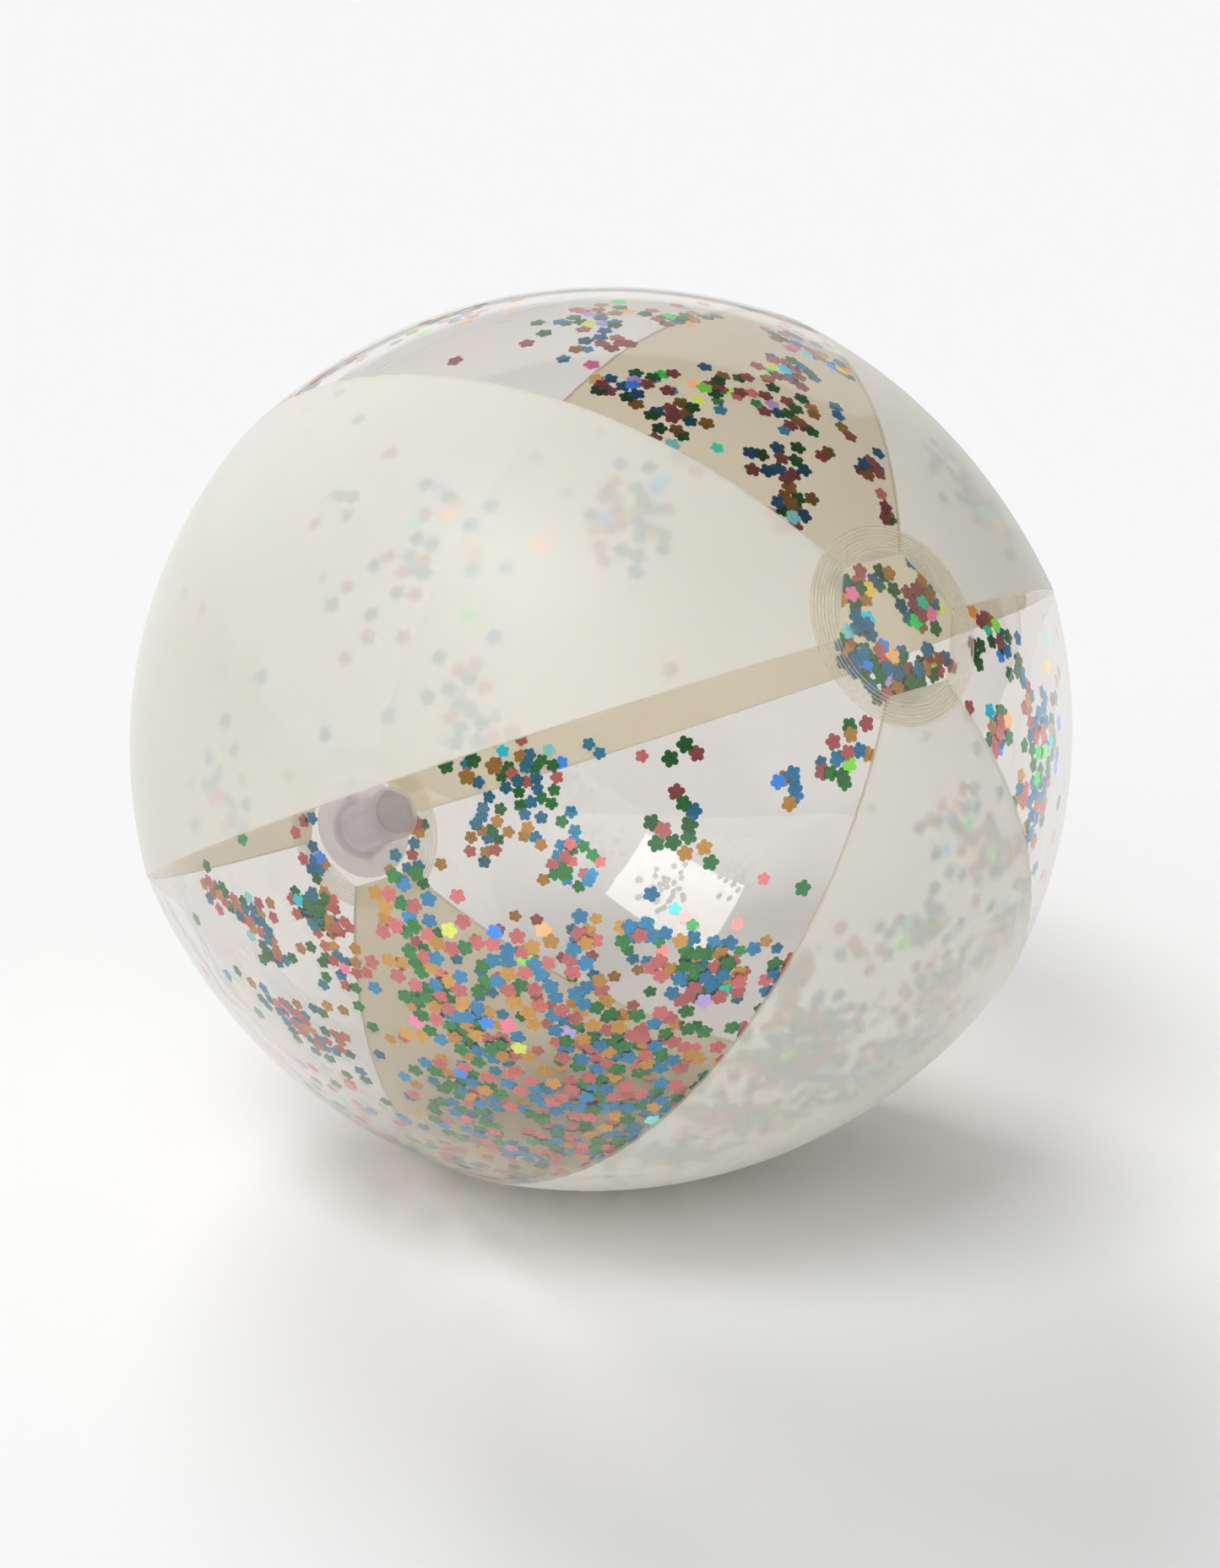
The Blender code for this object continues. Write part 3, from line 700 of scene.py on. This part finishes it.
def studio(lamps):
    """A dim surrounding studio with soft rectangular lamps far away. Each lamp is (direction, half width,
    half height, edge softness, radiance), with its sizes as shares of its distance."""
    world = bpy.data.worlds.new("studio")
    bpy.context.scene.world = world
    world.use_nodes = True
    tree = world.node_tree
    tree.nodes.clear()

    def add(kind, values, **settings):
        node = tree.nodes.new(kind)
        for key, value in settings.items():
            setattr(node, key, value)
        for socket, value in values.items():
            if isinstance(value, bpy.types.NodeSocket):
                tree.links.new(value, node.inputs[socket])
            else:
                node.inputs[socket].default_value = value
        return node

    def math_node(operation, first, second=0.0):
        return add("ShaderNodeMath", {0: first, 1: second}, operation=operation).outputs[0]

    def along(axis):
        return add("ShaderNodeVectorMath", {0: look, 1: axis}, operation="DOT_PRODUCT").outputs["Value"]

    look = tree.nodes.new("ShaderNodeTexCoord").outputs["Generated"]
    ramp = add("ShaderNodeValToRGB", {0: along((0, 0, 1))})
    for element, colour in zip(ramp.color_ramp.elements, (HORIZON, ZENITH)):
        element.color = colour
    total = add("ShaderNodeBackground", {"Color": ramp.outputs[0]}).outputs[0]
    for direction, half_width, half_height, edge, radiance in lamps:
        axis = direction.normalized()
        across = Vector((0, 0, 1)).cross(axis).normalized()
        ahead = along(axis)
        share = math_node("GREATER_THAN", ahead)
        for side, half in ((across, half_width), (axis.cross(across), half_height)):
            place = math_node("ABSOLUTE", math_node("DIVIDE", along(side), ahead))
            inside = {0: place, 1: half + edge / 2, 2: half - edge / 2, 3: 0.0, 4: 1.0}
            inside = add("ShaderNodeMapRange", inside, interpolation_type="SMOOTHSTEP").outputs[0]
            share = math_node("MULTIPLY", share, inside)
        strength = math_node("MULTIPLY", share, radiance)
        lamp = add("ShaderNodeBackground", {"Color": WHITE, "Strength": strength}).outputs[0]
        total = add("ShaderNodeAddShader", {0: total, 1: lamp}).outputs[0]
    seen = add("ShaderNodeBackground", {"Color": BACKDROP}).outputs[0]
    is_seen = tree.nodes.new("ShaderNodeLightPath").outputs["Is Camera Ray"]
    total = add("ShaderNodeMixShader", {0: is_seen, 1: total, 2: seen}).outputs[0]
    add("ShaderNodeOutputWorld", {"Surface": total})


CAMERA_DISTANCE = 7.3585  # in ball radii, as the next two
CAMERA_RIGHT = 0.01763  # the camera aims this far to the right of the ball's middle
CAMERA_UNDER = 0.10124  # and this far under it
CAMERA_ELEVATION = math.radians(20)
CAMERA_TOWARD = Vector((0.7606, -0.6492, 0.0))  # level, from the ball to the camera
CAMERA_LENS = 79.3  # mm, on 36 mm of film upright


def camera():
    """The camera stands round to the left of the plain pole and looks down at the ball. Returns the world
    directions to its right, up and back."""
    toward = CAMERA_TOWARD.normalized()
    back = toward * math.cos(CAMERA_ELEVATION) + Vector((0, 0, math.sin(CAMERA_ELEVATION)))
    right = Vector((0, 0, 1)).cross(toward).normalized()
    up = back.cross(right)
    place = right * CAMERA_RIGHT - up * CAMERA_UNDER + back * CAMERA_DISTANCE
    data = bpy.data.cameras.new("camera")
    data.lens = CAMERA_LENS
    data.sensor_width = 36
    made = bpy.data.objects.new("camera", data)
    made.matrix_world = Matrix.Translation(CENTRE + place * RADIUS) @ Matrix(
        (right, up, back)
    ).transposed().to_4x4()
    bpy.context.scene.collection.objects.link(made)
    bpy.context.scene.camera = made
    return right, up, back


def back_lamp(direction, spread, power):
    """A large soft light far behind the ball, kept out of reflections. spread is in degrees."""
    data = bpy.data.lights.new("back_lamp", "SUN")
    data.angle = math.radians(spread)
    data.energy = power
    lamp = bpy.data.objects.new("back_lamp", data)
    lamp.matrix_world = direction.to_track_quat("Z", "Y").to_matrix().to_4x4()
    lamp.visible_glossy = False
    bpy.context.scene.collection.objects.link(lamp)


# ---------------------------------------------------------------- assembly

right, up, back = camera()
stage()
level = Vector((back.x, back.y, 0.0)).normalized()
sky = Vector((0, 0, 1))
studio((
    (right * -0.308 + up * 0.722 + back * 0.620, 0.255, 0.15, 0.006, 7.2),  # key softbox
    (level * 0.88 - right * 0.42 + sky, 0.6, 0.4, 0.4, 1.5),  # wide front fill
    (level * 0.45 + right * 0.78 + sky * 0.42, 0.50, 0.42, 0.10, 0.4),  # right side panel
    (level * -0.9 - right * 0.16 + sky * 0.43, 0.8, 0.36, 0.05, 0.5),  # back wall panel
    (level * -1.0 + sky * 0.12, 1.5, 0.12, 0.12, 0.45),  # bright sweep behind the ball
))
back_lamp(level * -0.80 - right * 0.30 + sky * 0.68, 28, 1.65)

CLEAR = film(
    "clear_film", (0.885, 0.868, 0.850), (0.80, 0.78, 0.75), (0.80, 0.77, 0.72), (0.90, 0.87, 0.80),
    share=0.012, glow=0.4, inner_glow=0.4, weld_share=0.55, roughness=0.010, gloss=1.7,
)
CREAM = film(
    "cream_film", (0.93, 0.92, 0.88), (0.885, 0.88, 0.80), (0.86, 0.77, 0.585), (0.85, 0.80, 0.69),
    share=0.885, glow=0.17, inner_glow=0.50, weld_share=0.94, roughness=0.36, gloss=0.8,
)
DISC = film(
    "disc_film", (0.95, 0.93, 0.87), (0.86, 0.82, 0.69), (0.84, 0.79, 0.65), (0.86, 0.80, 0.66),
    share=0.13, glow=0.3, inner_glow=0.3, weld_share=0.55, roughness=0.03, gloss=1.6,
)
VALVE = valve_plastic("valve_pvc", (0.88, 0.83, 0.90), 0.62, 0.22)
FLAP = valve_plastic("flap_pvc", (0.74, 0.71, 0.70), 0.75, 0.5, 0.0001)
FOIL = foil()

GORES = (
    ("clear_gore_top", "clear_pvc"),
    ("cream_gore_upper_right", "cream_pvc"),
    ("clear_gore_lower_right", "clear_pvc"),
    ("cream_gore_bottom", "cream_pvc"),
    ("clear_gore_lower_left", "clear_pvc"),
    ("cream_gore_upper_left", "cream_pvc"),
)
for index, (node, slot) in enumerate(GORES):
    gore_film(node, index, CLEAR if slot == "clear_pvc" else CREAM)
pole_disc("plain_pole_disc", 1, NO_HOLE, DISC)
pole_disc("valve_pole_disc", -1, STEM_HOLE, DISC)
for node in ("valve_flange", "valve_stem", "valve_plug", "plug_strap"):
    frame["nodes"][node].data.materials.clear()
    frame["nodes"][node].data.materials.append(VALVE)
frame["nodes"]["check_flap"].data.materials.clear()
frame["nodes"]["check_flap"].data.materials.append(FLAP)
confetti([node for node in sorted(frame["nodes"]) if node.startswith("confetti")], FOIL)

scene = bpy.context.scene
scene.view_settings.view_transform = "Standard"
scene.cycles.transparent_max_bounces = 64
scene.cycles.max_bounces = 10
